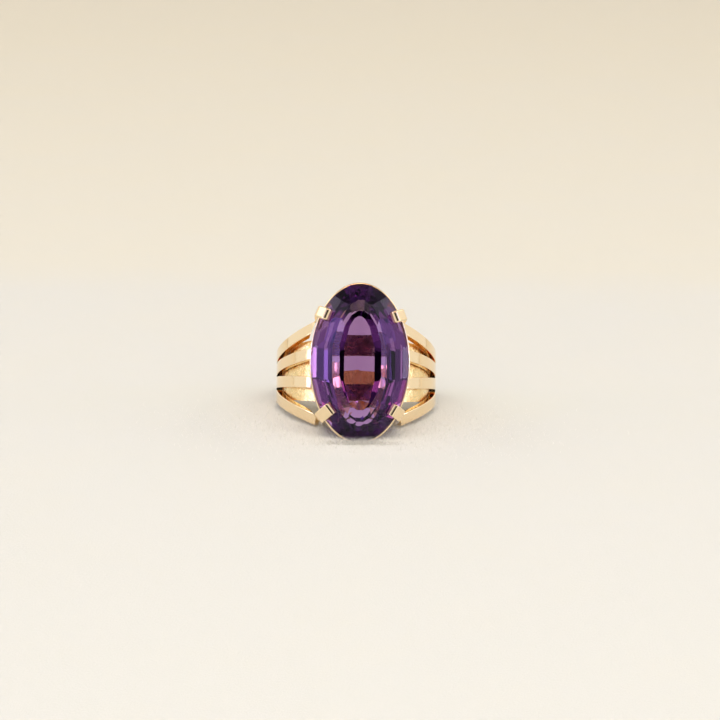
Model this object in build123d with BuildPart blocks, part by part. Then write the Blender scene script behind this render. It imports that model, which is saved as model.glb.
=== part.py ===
"""Cocktail ring: a long oval step-cut amethyst in a four-claw basket on a four-way split shank.

Millimetres. The origin is the centre of the finger hole. The ring lies on a table, on the stone's
lower end and the back of the shank, so +Z is up, the stone faces -Y and the finger's axis leans
back. Every sub-part is drawn in the ring's own directions, through RING: x across the ring, y from
the stone towards the back of the shank, and z along the finger.
"""
from build123d import *
from math import atan2, copysign, cos, degrees, hypot, pi, radians, sin
import os

# ---------------------------------------------------------------- driving dimensions
FINGER_RADIUS = 8.65          # US size 7, 17.3 mm inside diameter
SHANK_OUTER_RADIUS = 10.0
SHANK_SIDE_WIDTH = 6.5        # along the finger, where the strips leave the shank
SHANK_BACK_WIDTH = 2.0
SHANK_END_Y = 0.7             # the shank stops just behind the sides

STONE_WIDTH = 11.8
STONE_LENGTH = 19.2
GIRDLE_Y = -14.7
STONE_RISE = 0.3              # the head sits this far above the ring's middle
GIRDLE_THICKNESS = 0.20
FACET_COUNT = 16              # facets in each step, round the oval

# Each step's edge: half width, half length, height from the girdle's middle.
CROWN_STEPS = [(4.50, 8.45, 1.20), (3.10, 7.37, 2.00), (2.57, 6.00, 2.34)]
PAVILION_STEPS = [(4.60, 8.30, -1.90), (3.30, 7.20, -3.50), (1.85, 5.90, -4.85), (0.0, 4.30, -5.40)]

SEAT_OVERHANG = 0.18          # the seat rail shows this much outside the girdle
SEAT_WALL = 1.15
SEAT_HEIGHT = 0.75
SEAT_ROUND = 0.16             # of the edge that shows round the stone
SEAT_GAP = 0.05               # below the girdle's lower edge

CLAW_WIDTH = 1.5
CLAW_THICKNESS = 0.8
# For each claw, set by hand: its angle on the oval from the short axis, how far it is turned
# from square to the girdle, in degrees, how far its tip comes in over the crown, and how round
# its long edges are worn.
CLAWS = {
    ("upper", "left"): (38.0, -3.0, 1.22, 0.22),
    ("upper", "right"): (36.0, -3.0, 1.16, 0.22),
    ("lower", "left"): (42.0, 9.0, 1.60, 0.10),
    ("lower", "right"): (40.0, 3.0, 1.10, 0.10),
}

BASE_WIDTH = 10.0             # of the rounded frame that ties the claws' feet together
BASE_LENGTH = 14.0
BASE_CORNER = 3.0
BASE_WIRE = 0.8
BASE_BACK_Y = -8.55

BRIDGE_THICKNESS = 0.45       # of the finger-side wall under the strips and the basket
BRIDGE_SHOULDER_WIDTH = 6.8
BRIDGE_WIDTH = 7.9            # under the stone
LIGHT_HOLE_WIDTH = 3.7        # the window under the stone
LIGHT_HOLE_HEIGHT = 3.5
LIGHT_HOLE_CORNER = 0.2
LIGHT_HOLE_RISE = -0.3

STRIP_THICKNESS = 0.82
STRIP_WIDTH = 1.42
STRIP_PITCH = 1.62            # the strips lie side by side where they leave the shank
STRIP_LIFT = 0.62             # how far they have risen off the finger's circle at the basket
STRIP_TURN = 60.0             # degrees round the finger from the shank to the basket

# For each pair: row from the ring's middle, how far it spreads along the finger by the basket,
# how that grows (over 1, slowly at first), how far its face leans away from the ring's middle
# there, and the angle where it ends.
STRIPS = {
    ("upper", "inner"): (0.5, 1.25, 1.2, 0.0, 55.0),
    ("upper", "outer"): (1.5, 2.80, 1.37, 16.0, 60.0),
    ("lower", "inner"): (-0.5, 0.85, 1.2, 0.0, 55.0),
    ("lower", "outer"): (-1.5, 3.65, 1.15, 16.0, 61.0),
}

# ---------------------------------------------------------------- worked out
HALF_WIDTH = STONE_WIDTH / 2
HALF_LENGTH = STONE_LENGTH / 2
SEAT_TOP = GIRDLE_THICKNESS / 2 + SEAT_GAP
SIDES = {"left": -1, "right": 1}
ENDS = {"upper": 1, "lower": -1}

# The ring rests on the seat rail's lower end and the back of the shank.
CONTACT_RUN = SHANK_OUTER_RADIUS - (GIRDLE_Y + SEAT_TOP + SEAT_HEIGHT)
CONTACT_RISE = HALF_LENGTH + SEAT_OVERHANG - STONE_RISE - SHANK_BACK_WIDTH / 2
TILT = degrees(atan2(CONTACT_RISE, CONTACT_RUN))
RING = Location((0, 0, 0), (-TILT, 0, 0))


def on_ring(origin, x_dir, z_dir):
    """A plane given in the ring's own directions."""
    return Plane(RING * Plane(origin=origin, x_dir=x_dir, z_dir=z_dir).location)


FINGER_PLANE = on_ring((0, 0, 0), (1, 0, 0), (0, 0, 1))
SIDE_PLANE = on_ring((0, 0, 0), (0, 1, 0), (1, 0, 0))
SHANK_END_PLANE = on_ring((0, SHANK_END_Y, 0), (1, 0, 0), (0, -1, 0))
STONE_PLANE = on_ring((0, GIRDLE_Y, STONE_RISE), (1, 0, 0), (0, -1, 0))
LIGHT_HOLE_PLANE = on_ring((0, GIRDLE_Y, LIGHT_HOLE_RISE), (1, 0, 0), (0, -1, 0))
BASE_PLANE = on_ring((0, BASE_BACK_Y, STONE_RISE), (1, 0, 0), (0, -1, 0))


# ---------------------------------------------------------------- stone
def oval_normal(angle):
    """Outward direction, across and along the stone, at that angle of the girdle's oval."""
    across, along = cos(angle) / HALF_WIDTH, sin(angle) / HALF_LENGTH
    return across / hypot(across, along), along / hypot(across, along)


def facet_plane(normal, low, high):
    """Plane of the facet that runs from one step's edge to the next one's."""
    far, near = (hypot(step[0] * normal[0], step[1] * normal[1]) for step in (low, high))
    run, rise = far - near, high[2] - low[2]
    outward = (abs(rise), run if rise > 0 else -run)
    origin = Vector(normal[0] * far, normal[1] * far, low[2])
    tip = origin + Vector(normal[0] * outward[0], normal[1] * outward[0], outward[1])
    origin, tip = STONE_PLANE.from_local_coords(origin), STONE_PLANE.from_local_coords(tip)
    return Plane(origin=origin, z_dir=tip - origin)


def step_facets(steps, girdle_height):
    """Every facet plane of the crown or the pavilion."""
    edges = [(HALF_WIDTH, HALF_LENGTH, girdle_height)] + steps
    for k in range(FACET_COUNT):
        normal = oval_normal(2 * pi * k / FACET_COUNT)
        for low, high in zip(edges, edges[1:]):
            yield facet_plane(normal, low, high)


with BuildPart() as amethyst:
    with BuildSketch(STONE_PLANE.offset(PAVILION_STEPS[-1][2])):
        Ellipse(HALF_WIDTH, HALF_LENGTH)
    extrude(amount=CROWN_STEPS[-1][2] - PAVILION_STEPS[-1][2])
    for facet in step_facets(CROWN_STEPS, GIRDLE_THICKNESS / 2):
        split(bisect_by=facet, keep=Keep.BOTTOM)
    for facet in step_facets(PAVILION_STEPS, -GIRDLE_THICKNESS / 2):
        split(bisect_by=facet, keep=Keep.BOTTOM)

# ---------------------------------------------------------------- claws
CLAW_FOOT_OFFSET = 0.05                         # outward of the girdle
CLAW_FOOT_DEPTH = BASE_BACK_Y - GIRDLE_Y        # behind the girdle
CLAW_OFFSET = 0.37
CLAW_STRAIGHT = 1.6                             # behind the girdle, below which the claw leans in
CLAW_BEND_HEIGHT = 0.42
CLAW_BEND_RADIUS = 0.5
CLAW_TIP_HEIGHT = 1.61
CLAW_TIP_ROUND = 0.5


def claw_plane(side, end, angle, turned):
    """Plane through a claw: x is outward from the girdle, y points to the stone's face."""
    across, along = oval_normal(radians(angle))
    facing = atan2(along, across) + radians(turned)
    foot = (
        side * HALF_WIDTH * cos(radians(angle)),
        GIRDLE_Y,
        STONE_RISE + end * HALF_LENGTH * sin(radians(angle)),
    )
    outward = Vector(side * cos(facing), 0, end * sin(facing))
    return on_ring(foot, outward, outward.cross(Vector(0, -1, 0)))


claws = {}
claw_backs = {}
for (end_name, side_name), (angle, turned, tip_reach, edge_round) in CLAWS.items():
    plane = claw_plane(SIDES[side_name], ENDS[end_name], angle, turned)
    outward = Axis(plane.origin, plane.x_dir)
    with BuildPart() as claw:
        with BuildSketch(plane):
            with BuildLine():
                FilletPolyline(
                    (CLAW_FOOT_OFFSET, -CLAW_FOOT_DEPTH),
                    (CLAW_OFFSET, -CLAW_STRAIGHT),
                    (CLAW_OFFSET, CLAW_BEND_HEIGHT),
                    (CLAW_OFFSET - tip_reach, CLAW_TIP_HEIGHT),
                    radius=CLAW_BEND_RADIUS,
                )
            trace(line_width=CLAW_THICKNESS)
            fillet(vertices().sort_by(Axis.Y)[-1], CLAW_TIP_ROUND)
        extrude(amount=CLAW_WIDTH / 2, both=True)
        claw_backs[end_name, side_name] = claw.faces().sort_by(SortBy.AREA)[-2:].sort_by(outward)[-1]
        flanks = claw.faces().sort_by(Axis(plane.origin, plane.z_dir))
        fillet(flanks[0].edges() + flanks[-1].edges(), edge_round)
        add(amethyst.part, mode=Mode.SUBTRACT)
    claws[f"claw_{end_name}_{side_name}"] = claw

# ---------------------------------------------------------------- seat rail
with BuildPart() as seat_rail:
    with BuildSketch(STONE_PLANE.offset(-SEAT_TOP)):
        Ellipse(HALF_WIDTH + SEAT_OVERHANG, HALF_LENGTH + SEAT_OVERHANG)
        Ellipse(HALF_WIDTH - SEAT_WALL, HALF_LENGTH - SEAT_WALL, mode=Mode.SUBTRACT)
    extrude(amount=-SEAT_HEIGHT)
    front = seat_rail.faces().sort_by(Axis(STONE_PLANE.origin, STONE_PLANE.z_dir))[-1]
    fillet(front.outer_wire().edges(), SEAT_ROUND)
    add(amethyst.part, mode=Mode.SUBTRACT)
    for claw in claws.values():
        add(claw.part, mode=Mode.SUBTRACT)

# ---------------------------------------------------------------- base frame
with BuildPart() as base_frame:
    with BuildSketch(BASE_PLANE):
        RectangleRounded(BASE_WIDTH, BASE_LENGTH, BASE_CORNER)
        offset(amount=-BASE_WIRE, mode=Mode.SUBTRACT)
    extrude(amount=BASE_WIRE)
    for claw in claws.values():
        add(claw.part, mode=Mode.SUBTRACT)

# ---------------------------------------------------------------- shank
with BuildPart() as shank:
    with BuildSketch(FINGER_PLANE):
        Circle(SHANK_OUTER_RADIUS)
        Circle(FINGER_RADIUS, mode=Mode.SUBTRACT)
    extrude(amount=SHANK_SIDE_WIDTH / 2, both=True)
    with BuildSketch(SIDE_PLANE):
        with BuildLine():
            Polyline(
                (SHANK_END_Y, -SHANK_SIDE_WIDTH / 2),
                (SHANK_OUTER_RADIUS, -SHANK_BACK_WIDTH / 2),
                (SHANK_OUTER_RADIUS, SHANK_BACK_WIDTH / 2),
                (SHANK_END_Y, SHANK_SIDE_WIDTH / 2),
                close=True,
            )
        make_face()
    extrude(amount=SHANK_OUTER_RADIUS, both=True, mode=Mode.INTERSECT)

# ---------------------------------------------------------------- bridge under the strips and stone
with BuildPart() as bridge:
    with BuildSketch(FINGER_PLANE):
        Circle(FINGER_RADIUS + BRIDGE_THICKNESS)
        Circle(FINGER_RADIUS, mode=Mode.SUBTRACT)
    extrude(amount=BRIDGE_WIDTH / 2, both=True)
    with BuildSketch(SIDE_PLANE):
        with BuildLine():
            Polyline(
                (SHANK_END_Y, -SHANK_SIDE_WIDTH / 2),
                (SHANK_END_Y, SHANK_SIDE_WIDTH / 2),
                (-FINGER_RADIUS / 2, BRIDGE_SHOULDER_WIDTH / 2),
                (-FINGER_RADIUS, BRIDGE_WIDTH / 2),
                (-SHANK_OUTER_RADIUS, BRIDGE_WIDTH / 2),
                (-SHANK_OUTER_RADIUS, -BRIDGE_WIDTH / 2),
                (-FINGER_RADIUS, -BRIDGE_WIDTH / 2),
                (-FINGER_RADIUS / 2, -BRIDGE_SHOULDER_WIDTH / 2),
                close=True,
            )
        make_face()
    extrude(amount=SHANK_OUTER_RADIUS, both=True, mode=Mode.INTERSECT)
    with BuildSketch(LIGHT_HOLE_PLANE):
        RectangleRounded(LIGHT_HOLE_WIDTH, LIGHT_HOLE_HEIGHT, LIGHT_HOLE_CORNER)
    extrude(amount=GIRDLE_Y, mode=Mode.SUBTRACT)

# ---------------------------------------------------------------- shoulder strips
STRIP_ROOT_RADIUS = SHANK_OUTER_RADIUS - STRIP_THICKNESS / 2
STRIP_ROOT_TURN = -degrees(atan2(SHANK_END_Y, STRIP_ROOT_RADIUS))
STRIP_SECTIONS = 8
STRIP_EDGE = 0.10
TANGENT_STEP = 0.5            # degrees
CURL_RADIUS = 0.45            # the inner strips' ends turn in to the bridge
CURL_ANGLES = (30, 60, 90)


def strip_point(side, row, spread, growth, turn):
    """Centre of a strip's section, that many degrees round the finger from the ring's side."""
    share = max(turn, 0) / STRIP_TURN
    radius = STRIP_ROOT_RADIUS + STRIP_LIFT * share**2
    along_finger = row * STRIP_PITCH + copysign(spread, row) * share**growth
    return Vector(side * radius * cos(radians(turn)), -radius * sin(radians(turn)), along_finger)


def strip_frame(side, row, spread, growth, splay, turn):
    """Centre, direction and outward face of a strip at that angle."""
    ahead = strip_point(side, row, spread, growth, turn + TANGENT_STEP)
    behind = strip_point(side, row, spread, growth, turn - TANGENT_STEP)
    along = (ahead - behind).normalized() if turn > STRIP_ROOT_TURN else Vector(0, -1, 0)
    across = along.cross(Vector(side * cos(radians(turn)), -sin(radians(turn)), 0)).normalized()
    lean = copysign(splay, row * side) * max(turn, 0) / STRIP_TURN
    outward = across.cross(along).rotate(Axis((0, 0, 0), along), lean)
    return strip_point(side, row, spread, growth, turn), along, outward


def strip_runs(side, row, spread, growth, splay, last_turn, curled):
    """Planes of a strip's sections from the shank to the basket, then those of its curled end."""
    sweep = []
    for i in range(STRIP_SECTIONS):
        turn = STRIP_ROOT_TURN + (last_turn - STRIP_ROOT_TURN) * i / (STRIP_SECTIONS - 1)
        sweep.append(strip_frame(side, row, spread, growth, splay, turn))
    runs = [sweep]
    if curled:
        curl = [sweep[-1]]
        centre, along, outward = sweep[-1]
        for angle in CURL_ANGLES:
            swing = outward * cos(radians(angle)) + along * sin(radians(angle))
            heading = along * cos(radians(angle)) - outward * sin(radians(angle))
            curl.append((centre + (swing - outward) * CURL_RADIUS, heading, swing))
        end, heading, swing = curl[-1]
        curl.append((end + heading * CURL_RADIUS, heading, swing))
        runs.append(curl)
    return [[on_ring(at, outward, along) for at, along, outward in run] for run in runs]


strips = {}
for (end_name, kind), shape in STRIPS.items():
    for side_name, side in SIDES.items():
        with BuildPart() as strip:
            for run in strip_runs(side, *shape, curled=kind == "inner"):
                for plane in run:
                    with BuildSketch(plane):
                        RectangleRounded(STRIP_THICKNESS, STRIP_WIDTH, STRIP_EDGE)
                loft()
            split(bisect_by=SHANK_END_PLANE, keep=Keep.TOP)
            if kind == "inner":
                add(bridge.part, mode=Mode.SUBTRACT)
            else:
                split(bisect_by=Plane(claw_backs[end_name, side_name]), keep=Keep.TOP)
                add(claws[f"claw_{end_name}_{side_name}"].part, mode=Mode.SUBTRACT)
        strips[f"strip_{end_name}_{kind}_{side_name}"] = strip

# ---------------------------------------------------------------- export
os.makedirs("parts", exist_ok=True)
amethyst.part.label = "amethyst"
export_step(amethyst.part, "parts/amethyst.step")
seat_rail.part.label = "seat_rail"
export_step(seat_rail.part, "parts/seat_rail.step")
base_frame.part.label = "base_frame"
export_step(base_frame.part, "parts/base_frame.step")
shank.part.label = "shank"
export_step(shank.part, "parts/shank.step")
bridge.part.label = "bridge"
export_step(bridge.part, "parts/bridge.step")
for name, piece in (claws | strips).items():
    piece.part.label = name
    export_step(piece.part, f"parts/{name}.step")
print(f"the ring leans back {TILT:.2f} degrees")
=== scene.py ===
"""Cocktail ring on a pale cloth: polished gold round a long oval amethyst, in soft tent light.

Metres. The ring's pieces are the CAD nodes, which get their materials here.
"""
import math
import random

import bpy
from mathutils import Matrix, Vector


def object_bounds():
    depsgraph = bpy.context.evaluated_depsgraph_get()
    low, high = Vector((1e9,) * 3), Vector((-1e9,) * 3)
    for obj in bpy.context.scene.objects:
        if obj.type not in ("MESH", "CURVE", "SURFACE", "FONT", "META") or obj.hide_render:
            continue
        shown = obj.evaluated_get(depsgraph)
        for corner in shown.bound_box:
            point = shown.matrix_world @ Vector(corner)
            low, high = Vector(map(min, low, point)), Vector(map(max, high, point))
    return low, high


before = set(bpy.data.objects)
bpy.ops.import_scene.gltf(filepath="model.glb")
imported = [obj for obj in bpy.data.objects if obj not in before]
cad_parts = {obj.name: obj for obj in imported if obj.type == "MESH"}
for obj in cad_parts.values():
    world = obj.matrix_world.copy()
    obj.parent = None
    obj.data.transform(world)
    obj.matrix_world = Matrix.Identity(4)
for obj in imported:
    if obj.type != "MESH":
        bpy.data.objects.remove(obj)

CAD_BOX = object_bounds()
MM = 0.001

# ---------------------------------------------------------------- camera
CAMERA_DISTANCE = 0.400
CAMERA_AZIMUTH = math.radians(1.8)      # the camera stands this far to the ring's left
CAMERA_ELEVATION = math.radians(13.6)
CAMERA_ROLL = math.radians(1.1)
CAMERA_LENS = 159.3                     # mm, on a 36 mm sensor
AIM_RIGHT = 0.48 * MM                   # the frame's centre, from the finger hole's centre
AIM_UP = 2.13 * MM


def add_camera():
    forward = Vector((
        math.sin(CAMERA_AZIMUTH) * math.cos(CAMERA_ELEVATION),
        math.cos(CAMERA_AZIMUTH) * math.cos(CAMERA_ELEVATION),
        -math.sin(CAMERA_ELEVATION),
    ))
    right = forward.cross(Vector((0, 0, 1))).normalized()
    up = right.cross(forward)
    turned = Matrix.Rotation(-CAMERA_ROLL, 3, forward)
    right, up = turned @ right, turned @ up
    aim = right * AIM_RIGHT + up * AIM_UP
    data = bpy.data.cameras.new("camera")
    data.lens = CAMERA_LENS
    data.sensor_width = 36.0
    data.clip_start = 0.01
    camera = bpy.data.objects.new("camera", data)
    basis = Matrix((right, up, -forward)).transposed().to_4x4()
    camera.matrix_world = Matrix.Translation(aim - forward * CAMERA_DISTANCE) @ basis
    bpy.context.collection.objects.link(camera)
    bpy.context.scene.camera = camera


# ---------------------------------------------------------------- node helpers
class Nodes:
    """A material's or a world's node tree, built by name."""

    def __init__(self, owner):
        owner.use_nodes = True
        self.tree = owner.node_tree
        self.tree.nodes.clear()

    def add(self, kind, **values):
        node = self.tree.nodes.new(kind)
        for name, value in values.items():
            if name in node.inputs:
                node.inputs[name].default_value = value
            else:
                setattr(node, name, value)
        return node

    def link(self, source, target):
        self.tree.links.new(source, target)

    def noise(self, scale, detail, roughness=0.5):
        node = self.add("ShaderNodeTexNoise")
        node.inputs["Scale"].default_value = scale
        node.inputs["Detail"].default_value = detail
        node.inputs["Roughness"].default_value = roughness
        self.link(self.position(), node.inputs["Vector"])
        return node.outputs["Fac"]

    def position(self):
        return self.add("ShaderNodeTexCoord").outputs["Object"]

    def ramp(self, value, low, high, start=0.0, end=1.0):
        """Map value from start..end to low..high."""
        node = self.add("ShaderNodeMapRange", clamp=True)
        limits = {"From Min": start, "From Max": end, "To Min": low, "To Max": high}
        for name, number in limits.items():
            node.inputs[name].default_value = number
        self.link(value, node.inputs["Value"])
        return node.outputs["Result"]

    def maths(self, operation, a, b):
        node = self.add("ShaderNodeMath", operation=operation)
        for socket, value in zip(node.inputs, (a, b)):
            if isinstance(value, (int, float)):
                socket.default_value = value
            else:
                self.link(value, socket)
        return node.outputs["Value"]

    def bump(self, height, distance, strength=1.0):
        node = self.add("ShaderNodeBump")
        node.inputs["Strength"].default_value = strength
        node.inputs["Distance"].default_value = distance
        self.link(height, node.inputs["Height"])
        return node.outputs["Normal"]


def material(name):
    made = bpy.data.materials.new(name)
    nodes = Nodes(made)
    shader = nodes.add("ShaderNodeBsdfPrincipled")
    out = nodes.add("ShaderNodeOutputMaterial")
    nodes.link(shader.outputs["BSDF"], out.inputs["Surface"])
    return made, nodes, shader, out


def mix_colours(nodes, share, first, second):
    node = nodes.add("ShaderNodeMix", data_type="RGBA")
    node.inputs["A"].default_value = (*first, 1)
    node.inputs["B"].default_value = (*second, 1)
    nodes.link(share, node.inputs["Factor"])
    return node.outputs["Result"]


# ---------------------------------------------------------------- materials
# Scales of the noise in every material are per metre.
GOLD_COLOUR = (0.94, 0.75, 0.49)
GOLD_COLOUR_WARM = (0.92, 0.70, 0.43)
GOLD_WARMTH = 0.35                      # most of the warm colour that is ever mixed in
TONE_SCALE = 420
WEAR_SCALE = 2600
RIPPLE_SCALE = 330
GRAIN_SCALE = 5200
GRAIN_SHARE = 0.03                      # of the ripples' height

CAST_COLOUR = (0.98, 0.79, 0.45)
CAST_COLOUR_WARM = (0.88, 0.64, 0.30)
CAST_POLISH = (0.12, 0.34)
CAST_TONE_SCALE = 700
CAST_LUMP_SCALE = 900
CAST_LUMP_HEIGHT = 0.16 * MM


def gold_material(name, polish, ripple_height):
    """Polished 14 carat gold: hairline wear, faint ripples from the file, slightly uneven colour."""
    made, nodes, shader, _ = material(name)
    shader.inputs["Metallic"].default_value = 1.0
    tone = nodes.ramp(nodes.noise(TONE_SCALE, 4), 0.0, GOLD_WARMTH, 0.35, 0.7)
    nodes.link(mix_colours(nodes, tone, GOLD_COLOUR, GOLD_COLOUR_WARM), shader.inputs["Base Color"])
    wear = nodes.noise(WEAR_SCALE, 6, 0.7)
    nodes.link(nodes.ramp(wear, *polish, 0.38, 0.72), shader.inputs["Roughness"])
    grain = nodes.maths("MULTIPLY", nodes.noise(GRAIN_SCALE, 5, 0.65), GRAIN_SHARE)
    height = nodes.maths("ADD", nodes.noise(RIPPLE_SCALE, 2), grain)
    nodes.link(nodes.bump(height, ripple_height), shader.inputs["Normal"])
    return made


def cast_gold_material(name):
    """Gold left as cast, then tumbled: bright but lumpy."""
    made, nodes, shader, _ = material(name)
    shader.inputs["Metallic"].default_value = 1.0
    tone = nodes.ramp(nodes.noise(CAST_TONE_SCALE, 5, 0.6), 0.0, 1.0, 0.35, 0.65)
    nodes.link(mix_colours(nodes, tone, CAST_COLOUR, CAST_COLOUR_WARM), shader.inputs["Base Color"])
    lumps = nodes.noise(CAST_LUMP_SCALE, 5, 0.62)
    nodes.link(nodes.ramp(lumps, *CAST_POLISH, 0.35, 0.65), shader.inputs["Roughness"])
    nodes.link(nodes.bump(lumps, CAST_LUMP_HEIGHT), shader.inputs["Normal"])
    return made


AMETHYST_IOR = 1.545
AMETHYST_ABSORPTION = (0.48, 0.158, 0.57)
AMETHYST_DENSITY = 260.0                # per metre of path
AMETHYST_REFLECTION = (0.52, 0.48, 0.68, 1)     # fitted: real quartz reflects about twice this


def amethyst_material(name):
    """Clear quartz with a violet body, coloured by the length of the light's path through it."""
    made, nodes, shader, out = material(name)
    shader.inputs["Base Color"].default_value = (1, 1, 1, 1)
    shader.inputs["IOR"].default_value = AMETHYST_IOR
    shader.inputs["Transmission Weight"].default_value = 1.0
    shader.inputs["Roughness"].default_value = 0.0
    shader.inputs["Specular Tint"].default_value = AMETHYST_REFLECTION
    body = nodes.add("ShaderNodeVolumeAbsorption")
    body.inputs["Color"].default_value = (*AMETHYST_ABSORPTION, 1)
    body.inputs["Density"].default_value = AMETHYST_DENSITY
    nodes.link(body.outputs["Volume"], out.inputs["Volume"])
    return made


CLOTH_COLOUR = (0.456, 0.460, 0.426)
CLOTH_COLOUR_FAR = (0.487, 0.465, 0.372)
# The cloth is made lighter close round the ring, only to keep the ring's shadow on it faint.
CLOTH_COLOUR_CLOSE = (0.515, 0.508, 0.464)
CLOSE_CENTRE = (0.0, -7 * MM, -4 * MM)
CLOSE_REACH = (6 * MM, 19 * MM)
MOTTLE_SCALE = 70
MOTTLE = 0.06                           # how far the mottling moves between the two colours
NAP_SCALE = 2400
NAP_HEIGHT = 0.25 * MM
NAP_STRENGTH = 0.35
# The fibres are lighter than the cloth they come from: painted light, which keeps the shade among them
# faint.
PILE_COLOUR = (0.66, 0.65, 0.60)
# The cloth warms with distance: from and to which y, and how much of the way to the far colour.
CLOTH_FADES = [(-0.05, 0.066, 0.15), (0.066, 0.084, 0.42), (0.084, 0.35, 0.43)]


def cloth_material(name):
    """Pale felted cloth: short pile, faint mottling, warmer with distance."""
    made, nodes, shader, _ = material(name)
    shader.inputs["Roughness"].default_value = 0.95
    shader.inputs["Specular IOR Level"].default_value = 0.2
    parts = nodes.add("ShaderNodeSeparateXYZ")
    nodes.link(nodes.position(), parts.inputs["Vector"])
    share = nodes.ramp(nodes.noise(MOTTLE_SCALE, 6, 0.6), -MOTTLE, MOTTLE, 0.35, 0.65)
    for start, end, amount in CLOTH_FADES:
        share = nodes.maths("ADD", share, nodes.ramp(parts.outputs["Y"], 0.0, amount, start, end))
    away = nodes.add("ShaderNodeVectorMath", operation="DISTANCE")
    nodes.link(nodes.position(), away.inputs[0])
    away.inputs[1].default_value = CLOSE_CENTRE
    close = nodes.add("ShaderNodeMixRGB", Color2=(*CLOTH_COLOUR_CLOSE, 1))
    nodes.link(nodes.ramp(away.outputs["Value"], 1.0, 0.0, *CLOSE_REACH), close.inputs["Fac"])
    nodes.link(mix_colours(nodes, share, CLOTH_COLOUR, CLOTH_COLOUR_FAR), close.inputs["Color1"])
    nodes.link(close.outputs["Color"], shader.inputs["Base Color"])
    nap = nodes.noise(NAP_SCALE, 6, 0.75)
    nodes.link(nodes.bump(nap, NAP_HEIGHT, NAP_STRENGTH), shader.inputs["Normal"])
    return made


def pile_material(name):
    """Loose fibres of the same cloth, which let light through."""
    made, nodes, shader, out = material(name)
    shader.inputs["Base Color"].default_value = (*PILE_COLOUR, 1)
    shader.inputs["Roughness"].default_value = 0.9
    shader.inputs["Specular IOR Level"].default_value = 0.1
    through = nodes.add("ShaderNodeBsdfTranslucent", Color=(*PILE_COLOUR, 1))
    blend = nodes.add("ShaderNodeMixShader", Fac=0.5)
    nodes.link(shader.outputs["BSDF"], blend.inputs[1])
    nodes.link(through.outputs["BSDF"], blend.inputs[2])
    nodes.link(blend.outputs["Shader"], out.inputs["Surface"])
    return made


def paint_node(node, made):
    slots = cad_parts[node].material_slots
    for slot in slots:
        slot.material = made


def finish_metal():
    polished = gold_material("gold_polished", polish=(0.05, 0.13), ripple_height=0.010 * MM)
    claw = gold_material("gold_claws", polish=(0.04, 0.12), ripple_height=0.006 * MM)
    cast = cast_gold_material("gold_cast")
    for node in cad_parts:
        if node == "bridge":
            paint_node(node, cast)
        elif node.startswith("claw"):
            paint_node(node, claw)
        elif node != "amethyst":
            paint_node(node, polished)


# ---------------------------------------------------------------- stage and light
FLOOR_REACH = 3.0
CLOTH_SINK = 0.50 * MM                  # how deep the ring presses into the cloth
# Two drifts of fibres: how many, the middle's y, the spread in x and y, and the fibres' length.
# The second is the pile that stands up in front of the stone's lower end.
PILE_DRIFTS = [
    (9000, -11 * MM, (9 * MM, 6 * MM), (0.3 * MM, 0.9 * MM)),
    (2200, -17.9 * MM, (2.6 * MM, 0.6 * MM), (0.5 * MM, 1.2 * MM)),
]
PILE_THICKNESS = 0.012 * MM             # half a fibre's width at its root
PILE_JOINTS = 3
PILE_TAPER = 0.8                        # how much of its width a fibre loses by its tip
PILE_ROOT_DEPTH = 0.05 * MM
PILE_LEAN = (0.2, 1.3)                  # radians from upright at the root
PILE_DROOP = 0.25                       # radians more at each joint
PILE_CURL = 1.2
PILE_SEED = 7


def add_stage():
    floor_z = CAD_BOX[0][2] + CLOTH_SINK
    corners = [(-1, -1), (1, -1), (1, 1), (-1, 1)]
    mesh = bpy.data.meshes.new("floor")
    points = [(x * FLOOR_REACH, y * FLOOR_REACH, floor_z) for x, y in corners]
    mesh.from_pydata(points, [], [(0, 1, 2, 3)])
    floor = bpy.data.objects.new("floor", mesh)
    mesh.materials.append(cloth_material("cloth"))
    bpy.context.collection.objects.link(floor)
    add_pile(floor_z)


def add_pile(floor_z):
    """Loose fibres of the cloth, thickest where the ring stands."""
    random.seed(PILE_SEED)
    points, faces = [], []
    roots = [
        (random.gauss(0, spread[0]), random.gauss(middle_y, spread[1]), random.uniform(*lengths))
        for count, middle_y, spread, lengths in PILE_DRIFTS for _ in range(count)
    ]
    for x, y, length in roots:
        bearing, lean = random.uniform(0, 2 * math.pi), random.uniform(*PILE_LEAN)
        curl = random.uniform(-PILE_CURL, PILE_CURL)
        start = len(points)
        at = Vector((x, y, floor_z - PILE_ROOT_DEPTH))
        for step in range(PILE_JOINTS + 1):
            facing = Vector((math.cos(bearing), math.sin(bearing), 0))
            side = Vector((-facing.y, facing.x, 0)) * PILE_THICKNESS
            side *= 1 - PILE_TAPER * step / PILE_JOINTS
            points += [at - side, at + side]
            along = facing * math.sin(lean) + Vector((0, 0, math.cos(lean)))
            at = at + along * length / PILE_JOINTS
            bearing += curl / PILE_JOINTS
            lean = min(lean + PILE_DROOP, 1.5)
        for first in range(start, start + 2 * PILE_JOINTS, 2):
            faces.append((first, first + 1, first + 3, first + 2))
    mesh = bpy.data.meshes.new("pile")
    mesh.from_pydata(points, [], faces)
    mesh.materials.append(pile_material("cloth_pile"))
    pile = bpy.data.objects.new("pile", mesh)
    bpy.context.collection.objects.link(pile)


def add_light(name, place, aim, size, power, colour):
    data = bpy.data.lights.new(name, "AREA")
    data.shape = "RECTANGLE"
    data.size, data.size_y = size
    data.energy = power
    data.color = colour
    light = bpy.data.objects.new(name, data)
    light.location = place
    light.visible_glossy = False
    light.visible_transmission = False
    light.rotation_euler = (Vector(aim) - Vector(place)).to_track_quat("-Z", "Y").to_euler()
    bpy.context.collection.objects.link(light)


def heading(azimuth, elevation):
    """Direction from its degrees round from the front, to the ring's right, and up."""
    azimuth, elevation = math.radians(azimuth), math.radians(elevation)
    return Vector((
        math.sin(azimuth) * math.cos(elevation),
        -math.cos(azimuth) * math.cos(elevation),
        math.sin(elevation),
    ))


TENT_LIGHT = (0.95, 0.926, 0.874)
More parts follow.
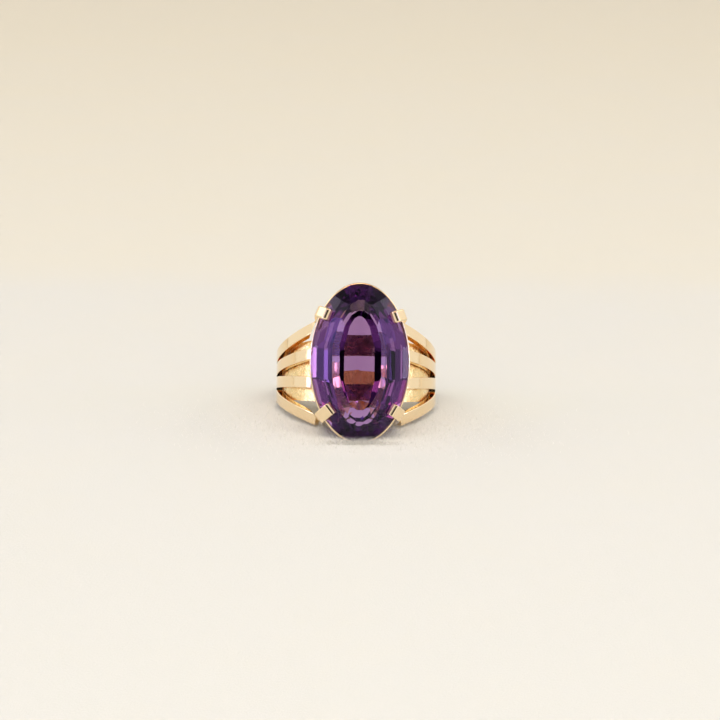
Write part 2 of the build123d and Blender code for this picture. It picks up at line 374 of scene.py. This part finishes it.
# The patches were placed by trial, for the light each group of facets mirrors or lets through.
# Each has where it is centred, the angles where it is full and where it has faded out, and its
# light. A later patch covers an earlier one.
TENT_PATCHES = [
    (heading(0, 102), 28, 46, (0.16, 0.16, 0.16)),
    (heading(0, 56), 10, 20, (4.2, 2.8, 2.1)),
    (heading(-103, 39), 9, 17, (2.2, 2.15, 2.02)),
    (heading(103, 39), 9, 17, (2.2, 2.15, 2.02)),
    (heading(-38, 27), 12, 20, (0.40, 0.39, 0.42)),
    (heading(38, 27), 12, 20, (0.40, 0.39, 0.42)),
    (heading(-60, 24), 9, 14, (2.1, 1.8, 4.0)),
    (heading(60, 24), 9, 14, (1.8, 1.75, 3.2)),
    (heading(-80, 12), 6, 9, (5.2, 4.4, 5.4)),
    (heading(80, 12), 6, 9, (5.2, 4.4, 5.4)),
    (heading(0, 22), 14, 26, (0.012, 0.012, 0.012)),
]


# Lights the cloth only: the polished pieces and the stone don't mirror it.
FRONT_LAMP = {
    "name": "overhead",
    "place": (0.0, -0.9, 0.95),
    "aim": (0, 0, 0),
    "size": (2.0, 1.6),
    "power": 40.0,
    "colour": (1.0, 0.98, 0.93),
}


def add_world():
    """Light-tent surroundings: pale all round, dark overhead and in front, bright at both sides."""
    world = bpy.data.worlds.new("tent")
    bpy.context.scene.world = world
    nodes = Nodes(world)
    direction = nodes.add("ShaderNodeTexCoord").outputs["Generated"]
    light = nodes.add("ShaderNodeRGB")
    light.outputs["Color"].default_value = (*TENT_LIGHT, 1)
    light = light.outputs["Color"]
    for centre, full, faded, colour in TENT_PATCHES:
        towards = nodes.add("ShaderNodeVectorMath", operation="DOT_PRODUCT")
        nodes.link(direction, towards.inputs[0])
        towards.inputs[1].default_value = centre
        share = nodes.ramp(
            towards.outputs["Value"], 0.0, 1.0, math.cos(math.radians(faded)), math.cos(math.radians(full))
        )
        blend = nodes.add("ShaderNodeMixRGB", Color2=(*colour, 1))
        nodes.link(share, blend.inputs["Fac"])
        nodes.link(light, blend.inputs["Color1"])
        light = blend.outputs["Color"]
    background = nodes.add("ShaderNodeBackground")
    nodes.link(light, background.inputs["Color"])
    out = nodes.add("ShaderNodeOutputWorld")
    nodes.link(background.outputs["Background"], out.inputs["Surface"])


# ---------------------------------------------------------------- make it
add_camera()
finish_metal()
paint_node("amethyst", amethyst_material("amethyst_body"))
add_stage()
add_world()
add_light(**FRONT_LAMP)

scene = bpy.context.scene
scene.view_settings.view_transform = "Standard"
scene.cycles.max_bounces = 24
scene.cycles.transmission_bounces = 24
scene.cycles.glossy_bounces = 12
scene.cycles.caustics_reflective = True
scene.cycles.caustics_refractive = True
